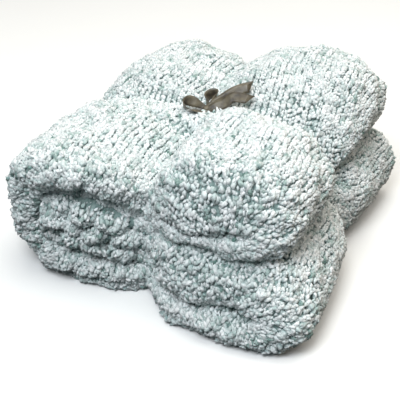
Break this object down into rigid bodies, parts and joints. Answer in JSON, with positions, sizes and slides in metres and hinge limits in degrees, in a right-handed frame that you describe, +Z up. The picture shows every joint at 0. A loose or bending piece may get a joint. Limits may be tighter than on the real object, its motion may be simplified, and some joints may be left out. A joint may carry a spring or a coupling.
{
  "type": "folded throw blanket",
  "caption": "Chunky heathered fleece throw, quartered and folded into a soft bundle that a crossed ribbon with a bow on top draws into rounded lobes.",
  "frame": {"origin": "bottom centre of the bundle, on the surface it rests on", "axes": "+Z up; -Y the face with the quartered folds; -X the closed wrap; +X the two turned folds"},
  "size_m": [0.353, 0.366, 0.1823],
  "materials": {
    "fleece": "nubby heathered pile",
    "satin": "satin weave"
  },
  "bodies": {
    "root": {"throw": "fleece", "ribbon": "satin"}
  },
  "joints": []
}
